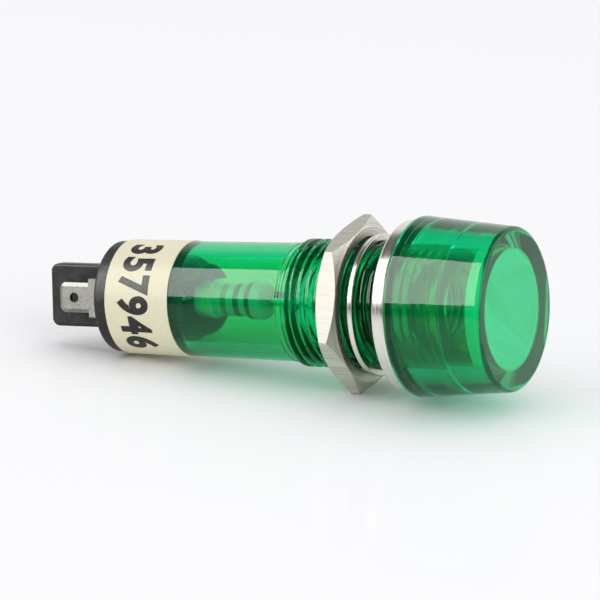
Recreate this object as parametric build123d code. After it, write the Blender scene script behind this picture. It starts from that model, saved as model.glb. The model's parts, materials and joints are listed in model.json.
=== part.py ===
from build123d import *

import os
from math import cos, pi, radians, tan

# A panel pilot light in millimetres. +X runs along the lamp's axis from the terminals to the lens,
# +Z is up, and the origin is on the axis in the plane of the panel seat (the back of the bezel ring).

# Body shell: one clear moulding, a threaded shank with a plain tapered barrel behind it
thread_diameter = 9.8
thread_pitch = 0.75
thread_depth = 0.43
thread_crest_share = 0.125
thread_root_share = 0.25
shank_behind_seat = 8.25
shank_in_cap = 3.85
barrel_length = 15.95
barrel_front_step = 0.34
barrel_taper = 0.2
barrel_rear_wall = 1.01
bore_lead_in = 0.2

# Bezel ring between the cap and the panel
bezel_set_in = 0.325
bezel_thickness = 1.15
bezel_front_round = 0.3
bezel_back_round = 0.15

# Lens cap: a tapered cup with a thick wall, screwed and cemented on the shank
cap_over_thread = 1.975
cap_taper = 0.65
cap_length = 7.66
cap_window_step = 0.26
cap_window_wall = 0.87
cap_front_round = 0.36
cap_rear_round = 0.1

# Diffuser disc behind the window
diffuser_thickness = 0.8
diffuser_edge_round = 0.15

# Hexagon nut and flat washer
nut_sides = 6
nut_over_thread = 1.05
nut_thickness = 1.66
nut_face_share = 0.99
nut_chamfer_angle = 28
nut_bore_chamfer = 0.3
nut_turned_back_angle = 10.8
washer_over_thread = 0.52
washer_thickness = 0.44
washer_edge_round = 0.1
washer_stand_off = 2.2
nut_behind_washer = 0.7

# Printed label wrapped round the barrel, its ends butted on the far side
label_thickness = 0.08
label_length = 5.53
label_seam_gap = 0.25

# Rear base: flange, barrier between the terminals, and a forked spigot inside the barrel
flange_set_in = 0.06
flange_thickness = 1.15
flange_rear_round = 0.3
flange_front_chamfer = 0.12
barrier_reach = 5.87
barrier_width = 4.9
barrier_thickness = 1.3
barrier_corner_round = 0.62
barrier_edge_round = 0.2
spigot_length = 6.1
tongue_length = 1.6
tongue_step = 0.58
tongue_end_round = 0.55

# Terminals: flat strips with a narrow coined blade outside and a wide tail inside
terminal_thickness = 0.4
root_width_share = 0.448
root_proud = 1.65
blade_shoulder = 0.33
blade_length = 2.6
blade_corner_cut = 0.36
blade_bevel_width = 0.3
blade_bevel_depth = 0.12
blade_hole_diameter = 0.78
blade_hole_from_tip = 1.3
tail_short_of_spigot = 0.45

# Neon lamp: a glass tube with a drawn tip in front and a pinched seal behind
glass_wall = 0.45
glass_dome_share = 0.76
glass_tip_length = 0.6
glass_tip_diameter = 0.9
glass_tip_round = 0.35
glass_to_diffuser = 0.65
pinch_taper_length = 1.7
pinch_flat_length = 1.1
pinch_width_share = 0.74
pinch_thickness = 1.7
electrode_diameter = 0.8
electrode_length_share = 0.63
electrode_spacing = 1.7
lamp_lead_diameter = 0.42
lamp_lead_in_glass = 0.5
lamp_lead_straight = 1.2
lamp_lead_tail = 2.1

# Series resistor and its wiring
resistor_length = 6.2
resistor_waist_share = 0.86
resistor_end_length = 1.5
resistor_end_round_share = 0.34
resistor_step_round_share = 1.5
resistor_ahead_of_spigot = 0.15
resistor_lead_diameter = 0.56
resistor_lead_straight = 0.75
resistor_lead_jog = 0.59
resistor_lead_on_tail = 0.9
wire_bend_radius = 0.6
sleeve_diameter = 0.92
sleeve_wall = 0.2
sleeve_bare_length = 0.45
far_wire_share = 0.7
solder_bead_diameter = 1.0
solder_bead_length = 1.3
splice_bead_diameter = 1.34
solder_film = 0.04

# Clearances, and the overrun of cutting tools
press_clearance = 0.02
running_clearance = 0.06
slip_clearance = 0.05
glass_to_bore = 0.45
resistor_to_tongue = 0.1
lead_to_web = 0.52
overrun = 1.0

# Radii that follow from the sizes above
thread_r = thread_diameter / 2
barrel_front_r = thread_r - barrel_front_step
barrel_rear_r = barrel_front_r - barrel_taper
bore_r = barrel_rear_r - barrel_rear_wall
cap_rear_r = thread_r + cap_over_thread
cap_front_r = cap_rear_r - cap_taper
window_r = thread_r - cap_window_step
bezel_r = cap_rear_r - bezel_set_in
washer_r = thread_r + washer_over_thread
nut_flat_r = thread_r + nut_over_thread
flange_r = barrel_rear_r - flange_set_in
spigot_r = bore_r - press_clearance
tongue_r = spigot_r - tongue_step
glass_r = bore_r - glass_to_bore
sleeve_r = sleeve_diameter / 2

# How far to the side of the axis the wires and the terminals lie
far_wire_y = bore_r * far_wire_share
tail_outer_y = far_wire_y - lamp_lead_diameter / 2 - solder_film
tail_y = tail_outer_y - terminal_thickness / 2
tail_inner_y = tail_y - terminal_thickness / 2
near_wire_y = tail_inner_y - solder_film - resistor_lead_diameter / 2
electrode_y = electrode_spacing / 2

# Widths that follow the bore
root_width = 2 * bore_r * root_width_share
blade_width = root_width - 2 * blade_shoulder
fork_gap = root_width + 2 * slip_clearance
resistor_r = fork_gap / 2 - resistor_to_tongue

# Stations along the axis, from the seat forward
cap_back_x = bezel_thickness
cap_front_x = cap_back_x + cap_length
shank_front_x = cap_back_x + shank_in_cap
window_x = cap_front_x - cap_window_wall
glass_front_x = window_x - diffuser_thickness - glass_to_diffuser - glass_tip_length

# Stations from the seat back to the terminals
thread_end_x = -shank_behind_seat
barrel_end_x = thread_end_x - barrel_length
flange_back_x = barrel_end_x - flange_thickness
root_end_x = flange_back_x - root_proud
blade_tip_x = root_end_x - blade_length

# Stations from the base forward through the wiring to the lamp
spigot_end_x = barrel_end_x + spigot_length
tongue_end_x = spigot_end_x + tongue_length
tail_end_x = spigot_end_x - tail_short_of_spigot
resistor_back_x = spigot_end_x + resistor_ahead_of_spigot
rear_lead_bend_x = resistor_back_x - resistor_lead_straight
rear_lead_meet_x = rear_lead_bend_x - near_wire_y
rear_lead_end_x = rear_lead_meet_x - resistor_lead_on_tail
fork_start_x = rear_lead_end_x - lead_to_web
resistor_front_x = resistor_back_x + resistor_length
front_lead_bend_x = resistor_front_x + resistor_lead_straight
splice_end_x = front_lead_bend_x + resistor_lead_jog
splice_front_x = splice_end_x + lamp_lead_tail
pinch_end_x = splice_front_x + lamp_lead_straight
glass_back_x = pinch_end_x + pinch_flat_length + pinch_taper_length
electrode_x = glass_back_x + lamp_lead_in_glass


def rounded(points, rounds=()):
    """A flat outline with some corners rounded: each round is (corner point, radius)."""
    face = make_face(Polyline(*points, close=True))
    for corner, radius in rounds:
        face = fillet(face.vertices().sort_by_distance(corner)[:1], radius)
    return face


def turned(points, rounds=()):
    """A piece turned about the lamp's axis from an outline of (x, radius) points."""
    return revolve(rounded(points, rounds), Axis.X)


def ring(x_start, x_end, r_out, r_in, rounds=()):
    """A plain ring between two stations."""
    outline = [(x_start, r_in), (x_end, r_in), (x_end, r_out), (x_start, r_out)]
    return turned(outline, rounds)


def rod(x_start, x_end, radius, y=0):
    """A straight round rod along X, at a distance to the side of the axis."""
    plane = Plane(origin=(x_start, y, 0), z_dir=(1, 0, 0))
    return extrude(plane * Circle(radius), x_end - x_start)


def block(x_start, x_end, y_start, y_end, width):
    """A straight-sided block, centred on z = 0."""
    centre = ((x_start + x_end) / 2, (y_start + y_end) / 2, 0)
    return Pos(*centre) * Box(x_end - x_start, y_end - y_start, width)


def wire(points, diameter):
    """A round wire along straight runs joined by bends."""
    path = FilletPolyline(*points, radius=wire_bend_radius)
    section = Plane(origin=path @ 0, z_dir=path % 0) * Circle(diameter / 2)
    return sweep(section, path)


def bead(x, y, length, diameter):
    """A bead of solder drawn out along X."""
    half = Ellipse(length / 2, diameter / 2) & Pos(0, diameter / 2) * Rectangle(length, diameter)
    return Pos(x, y, 0) * revolve(half, Axis.X)


def thread_outline(first_crest_x, last_crest_x):
    """The thread's outline between two crests, drawn as rings, one a pitch."""
    root_r = thread_r - thread_depth
    crest = thread_pitch * thread_crest_share
    root = thread_pitch * thread_root_share
    flank = (thread_pitch - crest - root) / 2
    points = [(first_crest_x, thread_r)]
    for turn in range(int((last_crest_x - first_crest_x) / thread_pitch)):
        root_x = first_crest_x + turn * thread_pitch + crest + flank
        points += [(root_x - flank, thread_r), (root_x, root_r)]
        points += [(root_x + root, root_r), (root_x + root + flank, thread_r)]
    return points + [(last_crest_x, thread_r)]


def body_shell():
    """The clear moulding: tapered barrel, threaded shank, and one bore through both."""
    lead_in = thread_pitch / 2
    mouth = lead_in / 2
    outline = [
        (barrel_end_x, bore_r + bore_lead_in),
        (barrel_end_x, barrel_rear_r),
        (thread_end_x, barrel_front_r),
        *thread_outline(thread_end_x + lead_in, shank_front_x - mouth),
        (shank_front_x, thread_r - mouth),
        (shank_front_x, bore_r),
        (barrel_end_x + bore_lead_in, bore_r),
    ]
    return turned(outline)


def bezel_ring():
    """The plated ring that sits on the panel, slipped over the shank."""
    rounds = [((bezel_thickness, bezel_r), bezel_front_round), ((0, bezel_r), bezel_back_round)]
    return ring(0, bezel_thickness, bezel_r, thread_r + running_clearance, rounds)


def lens_cap():
    """The tapered cap: a socket for the shank, then the window cavity and the thick front."""
    socket_r = thread_r + press_clearance
    rear = (cap_back_x, cap_rear_r)
    front = (cap_front_x, cap_front_r)
    outline = [
        (cap_back_x, socket_r),
        rear,
        front,
        (cap_front_x, 0),
        (window_x, 0),
        (window_x, window_r),
        (shank_front_x, window_r),
        (shank_front_x, socket_r),
    ]
    return turned(outline, [(front, cap_front_round), (rear, cap_rear_round)])


def diffuser_disc():
    """The milky disc against the inside of the window."""
    radius = window_r - press_clearance
    back = window_x - diffuser_thickness
    outline = [(back, 0), (back, radius), (window_x, radius), (window_x, 0)]
    return turned(outline, [((window_x, radius), diffuser_edge_round)])


def flat_washer():
    """The thin polished washer, loose on the thread."""
    front = -washer_stand_off
    back = front - washer_thickness
    rounds = [((front, washer_r), washer_edge_round), ((back, washer_r), washer_edge_round)]
    return ring(back, front, washer_r, thread_r + running_clearance, rounds)


def hex_nut():
    """A hexagon nut chamfered on both faces, with the bore opened out at each end."""
    front = -washer_stand_off - washer_thickness - nut_behind_washer
    back = front - nut_thickness
    corner_r = nut_flat_r / cos(pi / nut_sides)
    face_r = nut_flat_r * nut_face_share
    drop = (corner_r - face_r) * tan(radians(nut_chamfer_angle))
    hole_r = thread_r + running_clearance
    mouth_r = hole_r + nut_bore_chamfer
    outline = [
        (back, mouth_r),
        (back, face_r),
        (back + drop, corner_r),
        (front - drop, corner_r),
        (front, face_r),
        (front, mouth_r),
        (front - nut_bore_chamfer, hole_r),
        (back + nut_bore_chamfer, hole_r),
    ]
    corner_up = Plane(origin=(back, 0, 0), x_dir=(0, 0, 1), z_dir=(1, 0, 0))
    hexagon = RegularPolygon(nut_flat_r, nut_sides, major_radius=False)
    prism = extrude(corner_up * hexagon, nut_thickness)
    return (Rot(-nut_turned_back_angle, 0, 0) * prism) & turned(outline)


def label_sleeve():
    """The label: a thin wall that follows the barrel's taper, open at its butted seam."""
    r_front = barrel_rear_r + barrel_taper * label_length / barrel_length
    front = barrel_end_x + label_length
    outline = [
        (barrel_end_x, barrel_rear_r),
        (front, r_front),
        (front, r_front + label_thickness),
        (barrel_end_x, barrel_rear_r + label_thickness),
    ]
    reach = r_front + label_thickness + overrun
    seam = block(barrel_end_x - overrun, front + overrun, 0, reach, label_seam_gap)
    return turned(outline) - seam


def terminal_channels():
    """The open channels on both sides of the spigot, and the slots through the flange."""
    side = bore_r + overrun
    cuts = []
    for turn in (0, 180):
        channel = block(barrel_end_x, tongue_end_x + overrun, -side, -tail_inner_y, fork_gap)
        half = terminal_thickness / 2 + slip_clearance
        slot = block(flange_back_x - overrun, barrel_end_x, -tail_y - half, -tail_y + half, fork_gap)
        cuts += [Rot(turn, 0, 0) * channel, Rot(turn, 0, 0) * slot]
    return cuts


def barrier():
    """The rounded plate that stands between the two terminals."""
    end = flange_back_x - barrier_reach
    root = barrel_end_x - flange_thickness / 2
    half = barrier_width / 2
    outline = [(end, -half), (root, -half), (root, half), (end, half)]
    rounds = [((end, -half), barrier_corner_round), ((end, half), barrier_corner_round)]
    plate = extrude(Plane.XZ * rounded(outline, rounds), barrier_thickness / 2, both=True)
    sides = plate.faces().filter_by(Axis.Y)
    rims = sides[0].edges() + sides[1].edges()
    showing = rims.filter_by_position(Axis.X, end, root, inclusive=(True, False))
    return fillet(showing, barrier_edge_round)


def rear_base():
    """The moulded base: flange, barrier, and a spigot that forks into two stepped tongues."""
    flange_corner = (flange_back_x, flange_r)
    tongue_corner = (tongue_end_x, tongue_r)
    outline = [
        (flange_back_x, 0),
        flange_corner,
        (barrel_end_x - flange_front_chamfer, flange_r),
        (barrel_end_x, flange_r - flange_front_chamfer),
        (barrel_end_x, spigot_r),
        (spigot_end_x, spigot_r),
        (spigot_end_x, tongue_r),
        tongue_corner,
        (tongue_end_x, 0),
    ]
    rounds = [(flange_corner, flange_rear_round), (tongue_corner, tongue_end_round)]
    base = turned(outline, rounds) + barrier()
    for cut in terminal_channels():
        base -= cut
    reach = bore_r + overrun
    return base - block(fork_start_x, tongue_end_x + overrun, -reach, reach, fork_gap)


def blade():
    """The coined blade: its outline, side profile and end profile share one solid."""
    half = blade_width / 2
    thick = terminal_thickness / 2
    cut = blade_corner_cut
    plan = [
        (root_end_x, -half),
        (root_end_x, half),
        (blade_tip_x + cut, half),
        (blade_tip_x, half - cut),
        (blade_tip_x, cut - half),
        (blade_tip_x + cut, -half),
    ]
    flat = thick - blade_bevel_depth
    inner = half - blade_bevel_width
    edge_on = [
        (-flat, half),
        (flat, half),
        (thick, inner),
        (thick, -inner),
        (flat, -half),
        (-flat, -half),
        (-thick, -inner),
        (-thick, inner),
    ]
    set_in = blade_tip_x + blade_bevel_width
    from_side = [
        (root_end_x, thick),
        (set_in, thick),
        (blade_tip_x, flat),
        (blade_tip_x, -flat),
        (set_in, -thick),
        (root_end_x, -thick),
    ]
    outline = extrude(Plane.XZ * rounded(plan), thick, both=True)
    across = Plane(origin=(root_end_x, 0, 0), x_dir=(0, 1, 0), z_dir=(-1, 0, 0))
    section = extrude(across * rounded(edge_on), blade_length)
    profile = extrude(rounded(from_side), half, both=True)
    hole_x = blade_tip_x + blade_hole_from_tip
    drill = Pos(hole_x, 0, 0) * Rot(90, 0, 0) * Cylinder(blade_hole_diameter / 2, terminal_thickness)
    return (outline & section & profile) - drill


def terminal(turn):
    """One terminal, on the side of the barrier that the turn brings it to."""
    half = terminal_thickness / 2
    strip = block(root_end_x, tail_end_x, -half, half, root_width) + blade()
    return Rot(turn, 0, 0) * Pos(0, -tail_y, 0) * strip


def pinched_end():
    """The seal behind the tube, drawn from round to flat and left flat for the leads."""
    wide = Plane(origin=(glass_back_x, 0, 0), x_dir=(0, 1, 0), z_dir=(-1, 0, 0))
    narrow = wide.offset(pinch_taper_length)
    flat = Ellipse(glass_r * pinch_width_share, pinch_thickness / 2)
    neck = loft([wide * Circle(glass_r), narrow * flat])
    return neck + extrude(narrow * flat, pinch_flat_length)


def lamp_glass():
    """The neon lamp's envelope: domed tube, drawn tip, hollow inside, pinched behind."""
    tip_r = glass_tip_diameter / 2
    dome_round = glass_r * glass_dome_share
    tip_x = glass_front_x + glass_tip_length
    shoulder = (glass_front_x, glass_r)
    outline = [
        (glass_back_x, 0),
        (glass_back_x, glass_r),
        shoulder,
        (glass_front_x, tip_r),
        (tip_x, tip_r),
        (tip_x, 0),
    ]
    tube = turned(outline, [(shoulder, dome_round), ((tip_x, tip_r), glass_tip_round)])
    hollow_r = glass_r - glass_wall
    inner = (glass_front_x - glass_wall, hollow_r)
    hollow = [(glass_back_x, 0), (glass_back_x, hollow_r), inner, (inner[0], 0)]
    glass = tube + pinched_end() - turned(hollow, [(inner, dome_round - glass_wall)])
    for y in (-electrode_y, electrode_y):
        glass -= rod(pinch_end_x - overrun, glass_back_x + overrun, lamp_lead_diameter / 2, y)
    return glass


def electrode(y):
    """One of the lamp's two nickel rods."""
    length = (glass_front_x - glass_back_x) * electrode_length_share
    return rod(electrode_x, electrode_x + length, electrode_diameter / 2, y)


def near_lamp_lead():
    """The short lead, which meets the resistor's front lead."""
    return rod(splice_end_x, electrode_x, lamp_lead_diameter / 2, -electrode_y)


def far_lamp_lead():
    """The long lead, which passes beside the resistor to the far terminal."""
    run = far_wire_y - electrode_y
    points = [
        (electrode_x, electrode_y, 0),
        (splice_front_x, electrode_y, 0),
        (splice_front_x - run, far_wire_y, 0),
        (tail_end_x - solder_bead_length, far_wire_y, 0),
    ]
    return wire(points, lamp_lead_diameter)


def lead_sleeve():
    """The insulating sleeve over the long lead, where it passes the resistor."""
    front = splice_front_x - (far_wire_y - electrode_y) - wire_bend_radius
    back = tail_end_x + sleeve_bare_length
    outer = rod(back, front, sleeve_r, far_wire_y)
    return outer - rod(back, front, sleeve_r - sleeve_wall, far_wire_y)


def resistor():
    """The series resistor: a coated rod, a little thicker at its two ends."""
    end_r = resistor_r
    waist_r = end_r * resistor_waist_share
    slope = end_r - waist_r
    back, front = resistor_back_x, resistor_front_x
    back_step, front_step = back + resistor_end_length, front - resistor_end_length
    outline = [
        (back, 0),
        (back, end_r),
        (back_step, end_r),
        (back_step + slope, waist_r),
        (front_step - slope, waist_r),
        (front_step, end_r),
        (front, end_r),
        (front, 0),
    ]
    end_round = end_r * resistor_end_round_share
    step_round = slope * resistor_step_round_share
    ends = [((back, end_r), end_round), ((front, end_r), end_round)]
    steps = [((back_step, end_r), step_round), ((front_step, end_r), step_round)]
    return turned(outline, ends + steps)


def resistor_front_lead():
    """From the resistor to the splice, side by side with the lamp's short lead."""
    side_y = (lamp_lead_diameter + resistor_lead_diameter) / 2 + solder_film - electrode_y
    points = [
        (resistor_front_x, 0, 0),
        (front_lead_bend_x, 0, 0),
        (splice_end_x, side_y, 0),
        (splice_front_x, side_y, 0),
    ]
    return wire(points, resistor_lead_diameter)


def resistor_rear_lead():
    """From the resistor back between the tongues, to the inside of the near terminal's tail."""
    points = [
        (resistor_back_x, 0, 0),
        (rear_lead_bend_x, 0, 0),
        (rear_lead_meet_x, -near_wire_y, 0),
        (rear_lead_end_x, -near_wire_y, 0),
    ]
    return wire(points, resistor_lead_diameter)


def joint_beads(pieces):
    """The three solder joints, each cut to the wires and strips that it holds."""
    near_x = (rear_lead_meet_x + rear_lead_end_x) / 2
    far_x = tail_end_x - solder_bead_length / 2
    splice_x = (splice_end_x + splice_front_x) / 2
    beads = {
        "solder_terminal_1": (near_x, -near_wire_y, solder_bead_length, solder_bead_diameter),
        "solder_terminal_2": (far_x, far_wire_y, solder_bead_length, solder_bead_diameter),
        "solder_splice": (splice_x, -electrode_y / 2, solder_bead_length, splice_bead_diameter),
    }
    held = {
        "solder_terminal_1": ("terminal_blade_1", "resistor_lead_rear"),
        "solder_terminal_2": ("terminal_blade_2", "lamp_lead_2"),
        "solder_splice": ("lamp_lead_1", "resistor_lead_front"),
    }
    made = {}
    for name, size in beads.items():
        made[name] = bead(*size)
        for other in held[name]:
            made[name] -= pieces[other]
    return made


def build():
    """Every piece of the lamp by its node name."""
    pieces = {
        "body_shell": body_shell(),
        "bezel_ring": bezel_ring(),
        "lens_cap": lens_cap(),
        "diffuser_disc": diffuser_disc(),
        "flat_washer": flat_washer(),
        "hex_nut": hex_nut(),
        "label_sleeve": label_sleeve(),
        "rear_base": rear_base(),
        "terminal_blade_1": terminal(0),
        "terminal_blade_2": terminal(180),
        "lamp_glass": lamp_glass(),
        "lamp_electrode_1": electrode(-electrode_y),
        "lamp_electrode_2": electrode(electrode_y),
        "lamp_lead_1": near_lamp_lead(),
        "lamp_lead_2": far_lamp_lead(),
        "lead_sleeve": lead_sleeve(),
        "resistor": resistor(),
        "resistor_lead_front": resistor_front_lead(),
        "resistor_lead_rear": resistor_rear_lead(),
    }
    pieces.update(joint_beads(pieces))
    return pieces


os.makedirs("parts", exist_ok=True)
for node, shape in build().items():
    export_step(shape, f"parts/{node}.step")
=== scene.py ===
import json
import math

import bmesh
import bpy
from mathutils import Matrix, Vector


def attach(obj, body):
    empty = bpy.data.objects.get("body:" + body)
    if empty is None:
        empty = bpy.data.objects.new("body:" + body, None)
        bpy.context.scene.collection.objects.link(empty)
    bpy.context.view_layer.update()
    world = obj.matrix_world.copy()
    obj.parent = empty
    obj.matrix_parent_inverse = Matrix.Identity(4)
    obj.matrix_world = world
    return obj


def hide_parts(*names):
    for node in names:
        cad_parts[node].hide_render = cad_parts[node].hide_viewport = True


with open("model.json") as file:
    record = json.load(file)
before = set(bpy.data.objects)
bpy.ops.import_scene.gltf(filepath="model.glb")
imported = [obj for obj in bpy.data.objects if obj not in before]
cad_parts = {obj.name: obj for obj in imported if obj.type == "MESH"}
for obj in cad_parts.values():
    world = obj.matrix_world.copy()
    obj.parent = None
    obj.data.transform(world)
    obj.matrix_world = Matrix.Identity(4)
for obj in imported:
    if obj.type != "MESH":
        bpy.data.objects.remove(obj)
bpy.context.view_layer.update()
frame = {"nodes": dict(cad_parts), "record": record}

# Lengths are typed in millimetres and multiplied by MM. The frame is the CAD's: +X along the
# lamp's axis to the lens, origin in the panel seat. The floor is tilted in this frame.
MM = 0.001
nodes = frame["nodes"]

# The photograph's camera, fitted to the edges of the lamp in a 600 by 600 picture
PICTURE_PIXELS = 600
SENSOR_WIDTH = 36.0
FOCAL_PIXELS = 5232.7
CENTRE_PIXEL = (298.36, 302.02)
CAMERA_DISTANCE = 400 * MM
CAMERA_NEAR = 10 * MM
CAMERA_AIM = Vector((-9.62 * MM, 0, 0))
CAMERA_AZIMUTH = math.radians(27.92)
CAMERA_ELEVATION = math.radians(13.49)
TILT_SEEN = math.radians(4.63)
ROLL_SEEN = math.radians(5.8)

# The lamp rests on the label's rear edge and the nut's lowest corner, so the floor is tilted
FLOOR_TILT = math.radians(5.84)
FLOOR_REACH = 3000 * MM
FLOOR_DARK = (0.825, 0.825, 0.83)
FLOOR_LIGHT = (0.845, 0.845, 0.85)
FLOOR_CLOUDS_PER_METRE = 6.0
FLOOR_CLOUD_DETAIL = 2.0
FLOOR_ROUGHNESS = 0.05
FLOOR_IOR = 1.0335

# The softbox's long edges lie along the lamp, so its reflection runs straight along the barrel.
# The bright metals see a weaker one in the same place, which keeps their colour.
SOFTBOX_ANGLE = math.radians(39.7)
SOFTBOX_DISTANCE = 500 * MM
SOFTBOX_SIZE = (640 * MM, 580 * MM)
SOFTBOX_SHIFT_X = -380 * MM
SOFTBOX_GLOSS = 8.2
SOFTBOX_ON_METAL = 1.95
BRIGHT_METALS = ("bezel_ring", "flat_washer", "hex_nut")
SOFTBOX_LIGHT = 0.9
OVERHEAD_TOWARD = (-0.1, 0.35, 0.93)
OVERHEAD_DISTANCE = 600 * MM
OVERHEAD_SIZE = 700 * MM
OVERHEAD_LIGHT = 0.9
SIDE_TOWARD = (0.8, 0.46, 0.36)
SIDE_DISTANCE = 700 * MM
SIDE_SIZE = 600 * MM
SIDE_GLOSS = 1.8
FILL_TOWARD = (0.84, -0.45, 0.3)
FILL_LIGHT = 2.6

# The room's colours, and the ranges of height, front and right over which gloss sees it darken
ROOM_PAPER = (0.92, 0.92, 0.935)
ROOM_LIGHT = (0.645, 0.645, 0.66)
ROOM_OVERHEAD = (0.12, 0.12, 0.12)
ROOM_DARK = (0.08, 0.08, 0.08)
LOW_RANGE = (0.05, 0.42)
FRONT_RANGE = (-0.1, 0.35)
RIGHT_RANGE = (0.3, 0.7)
OVERHEAD_RANGE = (0.58, 0.78)

# Bands of colour round the axis: centre, half width and soft edge in millimetres, and colour.
# The green is deeper where the wall is thick, along the threaded shank; the second and third bands
# are painted shade.
SHANK_DEPTH_AND_SHADE_BANDS = (
    (-3.9, 4.45, 0.3, (0.01, 0.71, 0.29)),
    # Painted shade: darker where the nut, bezel and lamp tube stand around and behind the shank
    (-2.3, 2.3, 0.3, (0.004, 0.28, 0.11)),
    # Painted shade: darkest in the narrow gap between the nut's front face and the washer
    (-3.0, 0.5, 0.1, (0.0006, 0.015, 0.006)),
)
RESISTOR_BANDS = (
    (-13.15, 0.22, 0.05, (0.16, 0.09, 0.04)),
    (-14.2, 0.22, 0.05, (0.10, 0.07, 0.05)),
    (-15.3, 0.22, 0.05, (0.42, 0.24, 0.08)),
    (-16.8, 0.28, 0.05, (0.80, 0.66, 0.30)),
)

# The green mouldings, and how fast their thick walls darken the light in them
PLASTIC_IOR = 1.57
GLASS_IOR = 1.5
GREEN_GLOSS = 0.45
ABSORPTION_PER_METRE = 260.0
SHELL_PASSES = (0.80, 0.94, 0.86)
CAP_PASSES = (0.74, 0.95, 0.85)
GLASS_PASSES = (0.93, 0.95, 0.94)

# The nut's turned faces, told from its flats by how far they face along the axis
TURNED_DARK = (0.56, 0.54, 0.49)
TURNED_LIGHT = (0.70, 0.68, 0.61)
TURNED_MARKS_PER_METRE = 9000.0
TURNED_CONTRAST = (0.35, 0.65)
TURNED_FACING = (0.25, 0.4)
ROUND_THE_AXIS = (1, 0.03, 0.03)
GRAIN_DETAIL = 3.0

# The body shell's sizes, as in the part's source. Only the thread's start differs: it lies
# 0.25 mm further back, where the photograph shows the first crest.
THREAD_PITCH = 0.75
THREAD_CREST_R = 4.9
THREAD_ROOT_R = 4.45
THREAD_START_X = -8.5
THREAD_STEP = 0.1
THREAD_END_X = 5.0
THREAD_MOUTH_R = 4.72
BARREL_FRONT_R = 4.56
BARREL_REAR_R = 4.36
BARREL_END_X = -24.2
BARREL_TAPER_X = -8.25
BORE_R = 3.35
BORE_LEAD_IN = 0.2
EDGE_CHAMFER = 0.08
HOLDING_LOOP = 0.04

# The thread's flank as shares of a turn from the crest, and where its groove fades in and out
FLANK_TOP = 0.09
FLANK_FOOT = 0.43
GROOVE_STARTS = 2.5 * THREAD_STEP
GROOVE_FULL = 5 * THREAD_STEP
MOUTH_LENGTH = 3 * THREAD_STEP

# Small lines behind the thread's start: distance back, and height over the barrel
RUN_OUT_LINES = (
    (0.0, 0.0), (0.18, 0.0), (0.22, 0.05), (0.42, 0.05), (0.5, 0.0),
    (0.66, 0.0), (0.7, 0.03), (0.76, 0.0), (0.8, 0.0),
)
TURN_STEPS = 144
ROWS_PER_TURN = 16
WELD_DISTANCE = 0.0005
SHARP_ANGLE = math.radians(35)

# The printed marking on the label: plain numbers, read downward round the barrel
MARKING = "357946"
LETTER_WEIGHT = 0.042
LETTER_SPACING = 1.15
LETTER_CURVE_STEPS = 6
LETTER_WELD = 0.0001
LABEL_THICKNESS = 0.08
LABEL_R = BARREL_REAR_R + LABEL_THICKNESS
LABEL_SLOPE = (BARREL_FRONT_R - BARREL_REAR_R) / (BARREL_TAPER_X - BARREL_END_X)
MARK_FOOT_X = -23.1
MARK_HEIGHT = 2.83
MARK_TOP_ANGLE = math.radians(71)
MARK_BOTTOM_ANGLE = math.radians(-55)
INK_THICKNESS = 0.006
INK_CUT = 0.2


def floor_to_part(tilt):
    """Turns a direction given over the floor into the part's own frame."""
    return Matrix.Rotation(ROLL_SEEN, 3, "X") @ Matrix.Rotation(tilt, 3, "Y")


def place_camera():
    """The camera at the photograph's viewing angle, with its small shift."""
    az, el = CAMERA_AZIMUTH, CAMERA_ELEVATION
    turn = floor_to_part(TILT_SEEN)
    flat = math.cos(el)
    back = turn @ Vector((math.sin(az) * flat, -math.cos(az) * flat, math.sin(el)))
    right = turn @ Vector((math.cos(az), math.sin(az), 0))
    up = back.cross(right)
    data = bpy.data.cameras.new("photo_camera")
    data.sensor_width = SENSOR_WIDTH
    data.lens = FOCAL_PIXELS * SENSOR_WIDTH / PICTURE_PIXELS
    data.shift_x = (PICTURE_PIXELS / 2 - CENTRE_PIXEL[0]) / PICTURE_PIXELS
    data.shift_y = (CENTRE_PIXEL[1] - PICTURE_PIXELS / 2) / PICTURE_PIXELS
    data.clip_start = CAMERA_NEAR
    camera = bpy.data.objects.new("photo_camera", data)
    axes = Matrix((right, up, back)).transposed().to_4x4()
    camera.matrix_world = Matrix.Translation(CAMERA_AIM + back * CAMERA_DISTANCE) @ axes
    bpy.context.scene.collection.objects.link(camera)
    bpy.context.scene.camera = camera


def add(tree, kind, values=None, **settings):
    """A node with its settings, each input given a value or fed by a socket."""
    node = tree.nodes.new(kind)
    for name, value in settings.items():
        setattr(node, name, value)
    for name, value in (values or {}).items():
        if isinstance(value, bpy.types.NodeSocket):
            tree.links.new(value, node.inputs[name])
        else:
            node.inputs[name].default_value = value
    return node


def number(tree, operation, *values):
    """One step of arithmetic on sockets or numbers."""
    kind = "ShaderNodeMath"
    return add(tree, kind, dict(enumerate(values)), operation=operation).outputs[0]


def ramp(tree, value, low, high, to_low, to_high, smooth=True):
    """A value carried from one range to another, and held at the ends."""
    values = {
        "Value": value,
        "From Min": low,
        "From Max": high,
        "To Min": to_low,
        "To Max": to_high,
    }
    style = "SMOOTHSTEP" if smooth else "LINEAR"
    return add(tree, "ShaderNodeMapRange", values, interpolation_type=style).outputs["Result"]


def blend_colour(tree, share, first, second):
    """Two colours mixed by a share."""
    values = {0: share, 6: first, 7: second}
    return add(tree, "ShaderNodeMix", values, data_type="RGBA").outputs[2]


def blend_number(tree, share, first, second):
    """Two numbers mixed by a share."""
    return add(tree, "ShaderNodeMix", {0: share, 2: first, 3: second}).outputs[0]


def split(tree, vector):
    """The three numbers of a vector, by name."""
    return add(tree, "ShaderNodeSeparateXYZ", {0: vector}).outputs


def colour(red, green, blue):
    """An opaque colour."""
    return (red, green, blue, 1.0)


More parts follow.
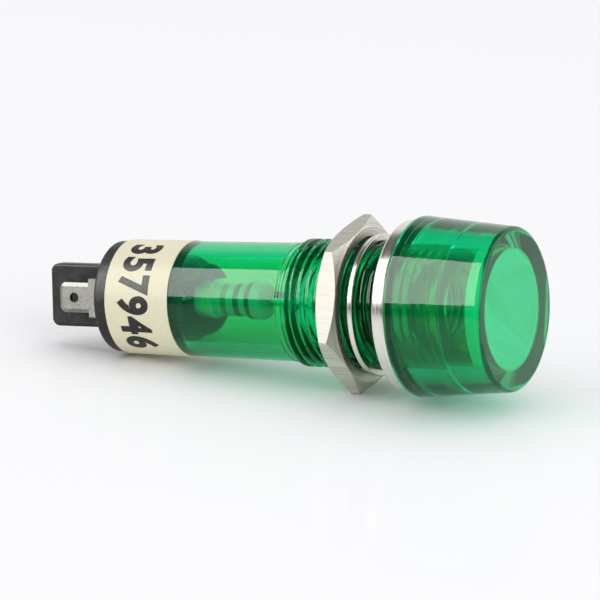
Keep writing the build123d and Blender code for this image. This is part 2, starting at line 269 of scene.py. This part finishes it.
def effect_group(name, inputs, outputs):
    """A shader node group with named sockets, and its inner ends."""
    tree = bpy.data.node_groups.new(name, "ShaderNodeTree")
    for label, kind, default in inputs:
        socket = tree.interface.new_socket(label, in_out="INPUT", socket_type=kind)
        if default is not None:
            socket.default_value = default
    for label, kind in outputs:
        tree.interface.new_socket(label, in_out="OUTPUT", socket_type=kind)
    given = tree.nodes.new("NodeGroupInput").outputs
    return tree, given, tree.nodes.new("NodeGroupOutput").inputs


def surface_grain_group():
    """Grain that can be stretched into lines: colour, roughness and height from one noise."""
    tree, given, result = effect_group(
        "surface_grain",
        [
            ("Vector", "NodeSocketVector", None),
            ("Stretch", "NodeSocketVector", (1, 1, 1)),
            ("Grain per metre", "NodeSocketFloat", 1000.0),
            ("Softness", "NodeSocketFloat", 0.2),
            ("Dark", "NodeSocketColor", colour(0.4, 0.4, 0.4)),
            ("Light", "NodeSocketColor", colour(0.6, 0.6, 0.6)),
            ("Rough low", "NodeSocketFloat", 0.3),
            ("Rough high", "NodeSocketFloat", 0.5),
        ],
        [
            ("Colour", "NodeSocketColor"),
            ("Roughness", "NodeSocketFloat"),
            ("Height", "NodeSocketFloat"),
        ],
    )
    sides = {0: given["Vector"], 1: given["Stretch"]}
    laid = add(tree, "ShaderNodeVectorMath", sides, operation="MULTIPLY").outputs[0]
    fine = {"Vector": laid, "Scale": given["Grain per metre"], "Detail": GRAIN_DETAIL}
    grain = add(tree, "ShaderNodeTexNoise", fine).outputs[0]
    low = number(tree, "SUBTRACT", 0.5, given["Softness"])
    high = number(tree, "ADD", 0.5, given["Softness"])
    share = ramp(tree, grain, low, high, 0.0, 1.0)
    painted = blend_colour(tree, share, given["Dark"], given["Light"])
    tree.links.new(painted, result["Colour"])
    rough = ramp(tree, share, 0.0, 1.0, given["Rough low"], given["Rough high"])
    tree.links.new(rough, result["Roughness"])
    tree.links.new(grain, result["Height"])
    return tree


def ring_mask_group():
    """A band round the part's X axis: 1 inside the band, 0 outside, with soft edges."""
    tree, given, result = effect_group(
        "ring_mask",
        [
            ("Vector", "NodeSocketVector", None),
            ("Centre", "NodeSocketFloat", 0.0),
            ("Half width", "NodeSocketFloat", 0.0003),
            ("Edge", "NodeSocketFloat", 0.00005),
        ],
        [("Mask", "NodeSocketFloat")],
    )
    x = split(tree, given["Vector"])["X"]
    away = number(tree, "ABSOLUTE", number(tree, "SUBTRACT", x, given["Centre"]))
    outer = number(tree, "ADD", given["Half width"], given["Edge"])
    tree.links.new(ramp(tree, away, given["Half width"], outer, 1.0, 0.0), result["Mask"])
    return tree


SURFACE_GRAIN = surface_grain_group()
RING_MASK = ring_mask_group()


def fresh_material(name):
    """An empty node material with its output."""
    material = bpy.data.materials.new(name)
    material.use_nodes = True
    tree = material.node_tree
    tree.nodes.clear()
    return material, tree, tree.nodes.new("ShaderNodeOutputMaterial")


def place_on_part(tree):
    """The point on the part, in its own frame."""
    return add(tree, "ShaderNodeTexCoord").outputs["Object"]


def effect(tree, group, values):
    """A shared group laid on the part, with this material's own values."""
    node = add(tree, "ShaderNodeGroup", node_tree=group)
    tree.links.new(place_on_part(tree), node.inputs["Vector"])
    for name, value in values.items():
        node.inputs[name].default_value = value
    return node.outputs


def look(grain_per_metre, softness, dark, light, rough, stretch=(1, 1, 1)):
    """The grain's values for one finish: its size, contrast, two colours and roughness range."""
    return {
        "Grain per metre": grain_per_metre,
        "Softness": softness,
        "Dark": colour(*dark),
        "Light": colour(*light),
        "Rough low": rough[0],
        "Rough high": rough[1],
        "Stretch": stretch,
    }


def bump(tree, height, depth):
    """A normal from a height, with its depth in millimetres."""
    values = {"Height": height, "Distance": depth * MM, "Strength": 1.0}
    return add(tree, "ShaderNodeBump", values).outputs["Normal"]


def solid_finish(name, grain, depth, metallic=0.0, tint=None, extra=None):
    """An opaque finish: the grain, its relief, and a tint over the colour if there is one."""
    material, tree, output = fresh_material(name)
    given = effect(tree, SURFACE_GRAIN, grain)
    values = {
        "Base Color": given["Colour"] if tint is None else tint(tree, given["Colour"]),
        "Roughness": given["Roughness"],
        "Metallic": metallic,
        "Normal": bump(tree, given["Height"], depth),
    }
    values.update(extra or {})
    shader = add(tree, "ShaderNodeBsdfPrincipled", values)
    tree.links.new(shader.outputs[0], output.inputs["Surface"])
    return material


def clear_finish(name, grain, depth, ior, passes, clearness=1.0, gloss=1.0, tint=None, deep=None):
    """A clear finish. Lamp light and light between matt surfaces pass straight through it."""
    material, tree, output = fresh_material(name)
    given = effect(tree, SURFACE_GRAIN, grain)
    values = {
        "Base Color": given["Colour"] if tint is None else tint(tree, given["Colour"]),
        "Roughness": given["Roughness"],
        "IOR": ior,
        "Transmission Weight": clearness,
        "Specular Tint": colour(gloss, gloss, gloss),
        "Normal": bump(tree, given["Height"], depth),
    }
    clear = add(tree, "ShaderNodeBsdfPrincipled", values)
    passed = add(tree, "ShaderNodeBsdfTransparent", {"Color": colour(*passes)})
    path = add(tree, "ShaderNodeLightPath").outputs
    soft = number(tree, "MAXIMUM", path["Is Shadow Ray"], path["Is Diffuse Ray"])
    both = add(tree, "ShaderNodeMixShader", {0: soft, 1: clear.outputs[0], 2: passed.outputs[0]})
    tree.links.new(both.outputs[0], output.inputs["Surface"])
    if deep:
        values = {"Color": colour(*deep), "Density": ABSORPTION_PER_METRE}
        inside = add(tree, "ShaderNodeVolumeAbsorption", values)
        tree.links.new(inside.outputs[0], output.inputs["Volume"])
    return material


def banded(bands):
    """A tint that lays bands of colour round the axis over a base colour."""
    def tint(tree, base):
        for centre, half_width, edge, paint in bands:
            sizes = {"Centre": centre * MM, "Half width": half_width * MM, "Edge": edge * MM}
            mask = effect(tree, RING_MASK, sizes)["Mask"]
            base = blend_colour(tree, mask, base, colour(*paint))
        return base
    return tint


def turned_faces(tree, base):
    """Turned faces are darker than the drawn flats, with fine marks round the axis."""
    place = split(tree, place_on_part(tree))
    across = number(tree, "POWER", place["Y"], 2.0)
    square = number(tree, "ADD", across, number(tree, "POWER", place["Z"], 2.0))
    values = {"W": number(tree, "SQRT", square), "Scale": TURNED_MARKS_PER_METRE}
    marks = add(tree, "ShaderNodeTexNoise", values, noise_dimensions="1D").outputs[0]
    share = ramp(tree, marks, *TURNED_CONTRAST, 0.0, 1.0)
    turned = blend_colour(tree, share, colour(*TURNED_DARK), colour(*TURNED_LIGHT))
    facing = split(tree, add(tree, "ShaderNodeNewGeometry").outputs["Normal"])["X"]
    along = ramp(tree, number(tree, "ABSOLUTE", facing), *TURNED_FACING, 0.0, 1.0)
    return blend_colour(tree, along, base, turned)


def make_finishes():
    """Every finish of the lamp, by its material slot."""
    return {
        "shell_green": clear_finish(
            "clear_green_moulding",
            look(260.0, 0.3, (0.012, 0.81, 0.36), (0.018, 0.84, 0.39), (0.03, 0.05)),
            depth=0.01, ior=PLASTIC_IOR, passes=SHELL_PASSES, clearness=0.97,
            # The shank's bands hold painted shade round the nut and washer as well as the thick
            # wall's deeper green
            gloss=GREEN_GLOSS, tint=banded(SHANK_DEPTH_AND_SHADE_BANDS), deep=(0.0, 0.66, 0.42)),
        "cap_green": clear_finish(
            "clear_green_lens",
            look(180.0, 0.3, (0.006, 0.75, 0.33), (0.010, 0.78, 0.36), (0.03, 0.045)),
            depth=0.02, ior=PLASTIC_IOR, passes=CAP_PASSES, clearness=0.95,
            gloss=GREEN_GLOSS, deep=(0.0, 0.80, 0.66)),
        "diffuser_milky": solid_finish(
            "milky_diffuser",
            look(2500.0, 0.3, (0.32, 0.78, 0.60), (0.36, 0.82, 0.64), (0.4, 0.55)),
            depth=0.004,
            extra={"Subsurface Weight": 0.15, "Subsurface Radius": (0.6 * MM, 0.8 * MM, 0.6 * MM)}),
        "bezel_plated": solid_finish(
            "bright_plated_ring",
            look(9000.0, 0.2, (0.73, 0.71, 0.64), (0.83, 0.81, 0.745), (0.16, 0.26),
                 ROUND_THE_AXIS),
            depth=0.0012, metallic=1.0),
        "washer_polished": solid_finish(
            "bright_plated_washer",
            look(7000.0, 0.2, (0.74, 0.71, 0.64), (0.84, 0.81, 0.74), (0.16, 0.26),
                 ROUND_THE_AXIS),
            depth=0.0012, metallic=1.0),
        "nut_nickel": solid_finish(
            "machined_nickel",
            look(5200.0, 0.16, (0.56, 0.53, 0.47), (0.74, 0.71, 0.64), (0.36, 0.5),
                 (0.06, 1, 1)),
            depth=0.003, metallic=1.0, tint=turned_faces),
        "label_paper": solid_finish(
            "printed_film",
            look(3200.0, 0.3, (0.77, 0.73, 0.52), (0.83, 0.79, 0.575), (0.40, 0.5)),
            depth=0.001,
            extra={"Coat Weight": 0.05, "Coat Roughness": 0.03, "Specular IOR Level": 0.25}),
        "label_ink": solid_finish(
            "dark_print",
            look(6000.0, 0.25, (0.014, 0.014, 0.011), (0.028, 0.028, 0.023), (0.3, 0.42)),
            depth=0.001,
            extra={"Coat Weight": 0.08, "Coat Roughness": 0.03, "Specular IOR Level": 0.25}),
        "base_black": solid_finish(
            "black_moulding",
            look(2600.0, 0.25, (0.012, 0.012, 0.010), (0.024, 0.024, 0.020), (0.32, 0.5)),
            depth=0.006, extra={"Specular IOR Level": 0.3}),
        "terminal_tinned": solid_finish(
            "tinned_strip",
            look(4200.0, 0.2, (0.18, 0.177, 0.158), (0.26, 0.257, 0.233), (0.5, 0.6)),
            depth=0.005, metallic=1.0),
        "lamp_glass": clear_finish(
            "lamp_tube_glass",
            look(150.0, 0.3, (0.93, 0.95, 0.94), (0.96, 0.97, 0.96), (0.01, 0.03)),
            depth=0.004, ior=GLASS_IOR, passes=GLASS_PASSES),
        "electrode_nickel": solid_finish(
            "drawn_nickel_rod",
            look(6000.0, 0.2, (0.38, 0.37, 0.35), (0.58, 0.57, 0.55), (0.35, 0.5),
                 (0.05, 1, 1)),
            depth=0.003, metallic=1.0),
        "lead_wire": solid_finish(
            "tinned_wire",
            look(5200.0, 0.2, (0.52, 0.51, 0.48), (0.74, 0.73, 0.70), (0.25, 0.4),
                 (0.08, 1, 1)),
            depth=0.003, metallic=1.0),
        "sleeve_dark": solid_finish(
            "dark_sleeving",
            look(3000.0, 0.25, (0.02, 0.025, 0.02), (0.05, 0.06, 0.05), (0.5, 0.65)),
            depth=0.004),
        "resistor_coat": solid_finish(
            "resistor_coat",
            look(2600.0, 0.25, (0.60, 0.50, 0.34), (0.68, 0.58, 0.42), (0.35, 0.5)),
            depth=0.004, tint=banded(RESISTOR_BANDS)),
        "solder": solid_finish(
            "bright_solder",
            look(1800.0, 0.25, (0.55, 0.55, 0.54), (0.75, 0.75, 0.74), (0.22, 0.36)),
            depth=0.01, metallic=1.0),
    }


def new_object(name, data):
    """An object whose place is already in its points."""
    piece = bpy.data.objects.new(name, data)
    bpy.context.scene.collection.objects.link(piece)
    return piece


def plain_mesh(source):
    """The mesh of an object with its modifiers and letters worked out."""
    bpy.context.view_layer.update()
    seen = source.evaluated_get(bpy.context.evaluated_depsgraph_get())
    return bpy.data.meshes.new_from_object(seen)


def finished_mesh(work, name, material):
    """A closed mesh with its faces outward and one material."""
    bmesh.ops.recalc_face_normals(work, faces=work.faces)
    mesh = bpy.data.meshes.new(name)
    work.to_mesh(mesh)
    work.free()
    mesh.materials.clear()
    mesh.materials.append(material)
    mesh.polygons.foreach_set("material_index", [0] * len(mesh.polygons))
    return mesh


def lathe(name, outline, steps):
    """A surface turned round X from an open outline of (x, radius), with no caps."""
    points, faces = [], []
    for x, radius in outline:
        for i in range(steps):
            angle = 2 * math.pi * i / steps
            place = (x, radius * math.cos(angle), radius * math.sin(angle))
            points.append(tuple(v * MM for v in place))
    for row in range(len(outline) - 1):
        for i in range(steps):
            j = (i + 1) % steps
            low, high = row * steps, (row + 1) * steps
            faces.append((low + i, low + j, high + j, high + i))
    mesh = bpy.data.meshes.new(name)
    mesh.from_pydata(points, [], faces)
    return mesh


def thread_tree():
    """A Geometry Nodes tree that makes the outer wall of a screw thread along X."""
    tree = bpy.data.node_groups.new("screw_thread", "GeometryNodeTree")
    sizes = {
        "Pitch": THREAD_PITCH,
        "Crest radius": THREAD_CREST_R,
        "Root radius": THREAD_ROOT_R,
        "Start": THREAD_START_X,
        "End": THREAD_END_X,
        "Start radius": BARREL_FRONT_R,
        "End radius": THREAD_MOUTH_R,
    }
    face = tree.interface
    face.new_socket("Geometry", in_out="INPUT", socket_type="NodeSocketGeometry")
    for label, size in sizes.items():
        socket = face.new_socket(label, in_out="INPUT", socket_type="NodeSocketFloat")
        socket.default_value = size * MM
    face.new_socket("Material", in_out="INPUT", socket_type="NodeSocketMaterial")
    face.new_socket("Geometry", in_out="OUTPUT", socket_type="NodeSocketGeometry")
    given = tree.nodes.new("NodeGroupInput").outputs
    result = tree.nodes.new("NodeGroupOutput").inputs

    # A flat sheet, one unit by one, that is rolled into the thread
    turns = math.ceil((THREAD_END_X - THREAD_START_X) / THREAD_PITCH) + 2
    counts = {
        "Vertices X": TURN_STEPS + 1,
        "Vertices Y": turns * ROWS_PER_TURN + 1,
        "Size X": 1.0,
        "Size Y": 1.0,
    }
    sheet = add(tree, "GeometryNodeMeshGrid", counts).outputs["Mesh"]
    place = split(tree, add(tree, "GeometryNodeInputPosition").outputs[0])
    around = number(tree, "ADD", place["X"], 0.5)
    turn = number(tree, "MULTIPLY", number(tree, "ADD", place["Y"], 0.5), float(turns))

    # The helix: each whole turn moves one pitch along, and is held at both ends
    whole = number(tree, "ADD", turn, number(tree, "SUBTRACT", around, 1.0))
    advance = number(tree, "MULTIPLY", whole, given["Pitch"])
    along = number(tree, "ADD", advance, given["Start"])
    x = number(tree, "MINIMUM", number(tree, "MAXIMUM", along, given["Start"]), given["End"])

    # The profile: a flank between crest and root, faded in behind the start
    flank = number(tree, "PINGPONG", turn, 0.5)
    sunk = ramp(tree, flank, FLANK_TOP, FLANK_FOOT, 1.0, 0.0, smooth=False)
    depth = number(tree, "SUBTRACT", given["Crest radius"], given["Root radius"])
    past_start = number(tree, "SUBTRACT", x, given["Start"])
    run_in = ramp(tree, past_start, GROOVE_STARTS * MM, GROOVE_FULL * MM, 0.0, 1.0)
    groove = number(tree, "MULTIPLY", number(tree, "MULTIPLY", sunk, run_in), depth)
    ridge = number(tree, "SUBTRACT", given["Crest radius"], groove)
    from_start = ramp(tree, past_start, 0.0, THREAD_STEP * MM, 0.0, 1.0)
    before_end = number(tree, "SUBTRACT", given["End"], x)
    to_end = ramp(tree, before_end, 0.0, MOUTH_LENGTH * MM, 0.0, 1.0)
    begun = blend_number(tree, from_start, given["Start radius"], ridge)
    radius = blend_number(tree, to_end, given["End radius"], begun)

    angle = number(tree, "MULTIPLY", around, 2 * math.pi)
    y = number(tree, "MULTIPLY", radius, number(tree, "COSINE", angle))
    z = number(tree, "MULTIPLY", radius, number(tree, "SINE", angle))
    point = add(tree, "ShaderNodeCombineXYZ", {0: x, 1: y, 2: z}).outputs[0]
    steps = (
        ("GeometryNodeSetPosition", {"Position": point}),
        ("GeometryNodeMergeByDistance", {"Distance": WELD_DISTANCE * MM}),
        ("GeometryNodeRealizeInstances", {}),
        ("GeometryNodeSetMaterial", {"Material": given["Material"]}),
    )
    for kind, values in steps:
        sheet = add(tree, kind, {"Geometry": sheet, **values}).outputs[0]
    tree.links.new(sheet, result["Geometry"])
    return tree


def mesh_of_tree(name, tree, values):
    """The plain mesh of a Geometry Nodes tree, with its inputs set by identifier."""
    carrier = new_object(name, bpy.data.meshes.new(name))
    modifier = carrier.modifiers.new(name, "NODES")
    modifier.node_group = tree
    for item in tree.interface.items_tree:
        if item.item_type == "SOCKET" and item.in_out == "INPUT" and item.name in values:
            modifier[item.identifier] = values[item.name]
    mesh = plain_mesh(carrier)
    carrier.modifiers.remove(modifier)
    bpy.data.objects.remove(carrier)
    return mesh


def threaded_body(material):
    """The clear moulding: tapered barrel, lines at the run-out, screw thread and bore."""
    wall = mesh_of_tree("screw_thread", thread_tree(), {"Material": material})
    rest = [(THREAD_START_X - back, BARREL_FRONT_R + rise) for back, rise in RUN_OUT_LINES]
    rest += [
        (BARREL_END_X + EDGE_CHAMFER + HOLDING_LOOP, BARREL_REAR_R),
        (BARREL_END_X + EDGE_CHAMFER, BARREL_REAR_R),
        (BARREL_END_X, BARREL_REAR_R - EDGE_CHAMFER),
        (BARREL_END_X, BORE_R + BORE_LEAD_IN),
        (BARREL_END_X + BORE_LEAD_IN, BORE_R),
        (BARREL_END_X + BORE_LEAD_IN + HOLDING_LOOP, BORE_R),
        (THREAD_END_X - EDGE_CHAMFER - HOLDING_LOOP, BORE_R),
        (THREAD_END_X - EDGE_CHAMFER, BORE_R),
        (THREAD_END_X, BORE_R + EDGE_CHAMFER),
        (THREAD_END_X, THREAD_MOUTH_R),
    ]
    joined = bmesh.new()
    joined.from_mesh(wall)
    joined.from_mesh(lathe("barrel", rest, TURN_STEPS))
    bmesh.ops.remove_doubles(joined, verts=joined.verts, dist=WELD_DISTANCE * MM)
    mesh = finished_mesh(joined, "threaded_body", material)
    mesh.polygons.foreach_set("use_smooth", [True] * len(mesh.polygons))
    mesh.set_sharp_from_angle(angle=SHARP_ANGLE)
    return new_object("threaded_body", mesh)


def label_marking(material):
    """Numbers made flat, cut into narrow strips, and wrapped round the label as thin ink."""
    data = bpy.data.curves.new("marking", "FONT")
    data.body = MARKING
    data.offset = LETTER_WEIGHT
    data.space_character = LETTER_SPACING
    data.extrude = INK_THICKNESS / 2
    data.resolution_u = LETTER_CURVE_STEPS
    writer = new_object("marking", data)
    flat = plain_mesh(writer)
    bpy.data.objects.remove(writer)
    corners = [v.co.copy() for v in flat.vertices]
    left, right = min(c.x for c in corners), max(c.x for c in corners)
    foot, top = min(c.y for c in corners), max(c.y for c in corners)
    length = (MARK_TOP_ANGLE - MARK_BOTTOM_ANGLE) * LABEL_R
    for v in flat.vertices:
        v.co.x = (v.co.x - left) / (right - left) * length
        v.co.y = (v.co.y - foot) / (top - foot) * MARK_HEIGHT
    work = bmesh.new()
    work.from_mesh(flat)
    bmesh.ops.remove_doubles(work, verts=work.verts, dist=LETTER_WELD)
    for step in range(1, int(length / INK_CUT) + 1):
        everything = work.verts[:] + work.edges[:] + work.faces[:]
        cut = (step * INK_CUT, 0, 0)
        bmesh.ops.bisect_plane(work, geom=everything, plane_co=cut, plane_no=(1, 0, 0))
    for v in work.verts:
        x = MARK_FOOT_X + v.co.y
        surface = LABEL_R + LABEL_SLOPE * (x - BARREL_END_X)
        radius = surface + INK_THICKNESS / 2 + v.co.z
        angle = MARK_TOP_ANGLE - v.co.x / LABEL_R
        v.co = Vector((x, -radius * math.cos(angle), radius * math.sin(angle))) * MM
    return new_object("label_marking", finished_mesh(work, "label_marking", material))


def dress_part(finishes):
    """Each carried-over CAD node gets its slot's finish."""
    for row in frame["record"]["subparts"]:
        for slot in nodes[row["node"]].material_slots:
            slot.material = finishes[row["material_slot"]]


def place_floor():
    """A wide pale glossy floor under the lamp."""
    turn = floor_to_part(FLOOR_TILT)
    across, away, up = (turn @ Vector(axis) for axis in ((1, 0, 0), (0, 1, 0), (0, 0, 1)))
    lowest = min(up.dot(v.co) for node in nodes.values() for v in node.data.vertices)
    centre = CAMERA_AIM + up * (lowest - CAMERA_AIM.dot(up))
    ends = ((-1, -1), (1, -1), (1, 1), (-1, 1))
    corners = [centre + FLOOR_REACH * (a * across + b * away) for a, b in ends]
    mesh = bpy.data.meshes.new("floor")
    mesh.from_pydata(corners, [], [(0, 1, 2, 3)])
    material, tree, output = fresh_material("glossy_white_table")
    values = {
        "Vector": place_on_part(tree),
        "Scale": FLOOR_CLOUDS_PER_METRE,
        "Detail": FLOOR_CLOUD_DETAIL,
    }
    faint = add(tree, "ShaderNodeTexNoise", values).outputs[0]
    white = blend_colour(tree, faint, colour(*FLOOR_DARK), colour(*FLOOR_LIGHT))
    values = {"Base Color": white, "Roughness": FLOOR_ROUGHNESS, "IOR": FLOOR_IOR}
    shader = add(tree, "ShaderNodeBsdfPrincipled", values)
    tree.links.new(shader.outputs[0], output.inputs["Surface"])
    mesh.materials.append(material)
    floor = new_object("floor", mesh)


def soft_lamp(name, place, toward, along, sizes, radiance):
    """A rectangular lamp at a place, facing back against the direction toward it."""
    data = bpy.data.lights.new(name, "AREA")
    data.shape = "RECTANGLE"
    data.size, data.size_y = sizes
    data.energy = radiance * math.pi * data.size * data.size_y
    axes = Matrix((along, toward.cross(along), toward)).transposed().to_4x4()
    lamp = new_object(name, data)
    lamp.matrix_world = Matrix.Translation(place) @ axes
    lamp.visible_camera = False
    return lamp


def square_lamp(name, direction, distance, size, radiance):
    """A square lamp that faces the part from a direction given over the floor."""
    toward = (floor_to_part(FLOOR_TILT) @ Vector(direction)).normalized()
    along = toward.orthogonal().normalized()
    place = CAMERA_AIM + toward * distance
    return soft_lamp(name, place, toward, along, (size, size), radiance)


def gloss_only(lamp, pieces):
    """Keeps a lamp to the gloss of these pieces."""
    lamp.visible_diffuse = False
    lamp.visible_transmission = False
    lit = bpy.data.collections.new(lamp.name + "_pieces")
    for piece in pieces:
        lit.objects.link(piece)
    lamp.light_linking.receiver_collection = lit


def place_lamps(made):
    """A big softbox at the upper left, a lamp overhead, and two at the right."""
    metals = [nodes[name] for name in BRIGHT_METALS]
    others = [node for name, node in nodes.items() if name not in BRIGHT_METALS] + made
    along = Vector((1, 0, 0))
    toward = Vector((0, -math.cos(SOFTBOX_ANGLE), math.sin(SOFTBOX_ANGLE)))
    place = CAMERA_AIM + along * SOFTBOX_SHIFT_X + toward * SOFTBOX_DISTANCE
    softbox = (place, toward, along, SOFTBOX_SIZE)
    overhead = (OVERHEAD_TOWARD, OVERHEAD_DISTANCE, OVERHEAD_SIZE, OVERHEAD_LIGHT)
    side = (SIDE_TOWARD, SIDE_DISTANCE, SIDE_SIZE, SIDE_GLOSS)
    fill = (FILL_TOWARD, SIDE_DISTANCE, SIDE_SIZE, FILL_LIGHT)
    gloss_only(soft_lamp("softbox_gloss", *softbox, SOFTBOX_GLOSS), others)
    gloss_only(soft_lamp("softbox_on_metal", *softbox, SOFTBOX_ON_METAL), metals)
    gloss_only(square_lamp("side_gloss", *side), metals + others)
    soft_lamp("softbox_light", *softbox, SOFTBOX_LIGHT).visible_glossy = False
    square_lamp("overhead", *overhead).visible_glossy = False
    square_lamp("fill", *fill).visible_glossy = False


def place_room():
    """A pale room. Gloss shows it darker overhead, low in front and to the right."""
    world = bpy.data.worlds.new("pale_room")
    world.use_nodes = True
    tree = world.node_tree
    tree.nodes.clear()
    direction = add(tree, "ShaderNodeTexCoord").outputs["Generated"]
    turn = floor_to_part(FLOOR_TILT)

    def toward_side(axis):
        values = {0: direction, 1: turn @ Vector(axis)}
        return add(tree, "ShaderNodeVectorMath", values, operation="DOT_PRODUCT").outputs["Value"]

    height, front, right = (toward_side(axis) for axis in ((0, 0, 1), (0, -1, 0), (1, 0, 0)))
    low = ramp(tree, height, *LOW_RANGE, 1.0, 0.0)
    facing = ramp(tree, front, *FRONT_RANGE, 0.0, 1.0)
    low_front = number(tree, "MULTIPLY", low, facing)
    far_right = ramp(tree, right, *RIGHT_RANGE, 0.0, 1.0)
    shade = number(tree, "MAXIMUM", low_front, far_right)
    overhead = ramp(tree, height, *OVERHEAD_RANGE, 0.0, 1.0)
    walls = blend_colour(tree, overhead, colour(*ROOM_PAPER), colour(*ROOM_OVERHEAD))
    mirrored = blend_colour(tree, shade, walls, colour(*ROOM_DARK))
    path = add(tree, "ShaderNodeLightPath").outputs
    lit = blend_colour(tree, path["Is Glossy Ray"], colour(*ROOM_LIGHT), mirrored)
    straight = number(tree, "MAXIMUM", path["Is Camera Ray"], path["Is Transmission Ray"])
    shown = blend_colour(tree, straight, lit, colour(*ROOM_PAPER))
    background = add(tree, "ShaderNodeBackground", {"Color": shown, "Strength": 1.0})
    output = tree.nodes.new("ShaderNodeOutputWorld")
    tree.links.new(background.outputs[0], output.inputs["Surface"])
    bpy.context.scene.world = world


place_camera()
place_floor()
place_room()
bpy.context.scene.view_settings.view_transform = "Standard"

finishes = make_finishes()
dress_part(finishes)

body = threaded_body(finishes["shell_green"])
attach(body, "lamp")
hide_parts("body_shell")

marking = label_marking(finishes["label_ink"])
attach(marking, "lamp")

place_lamps([body, marking])
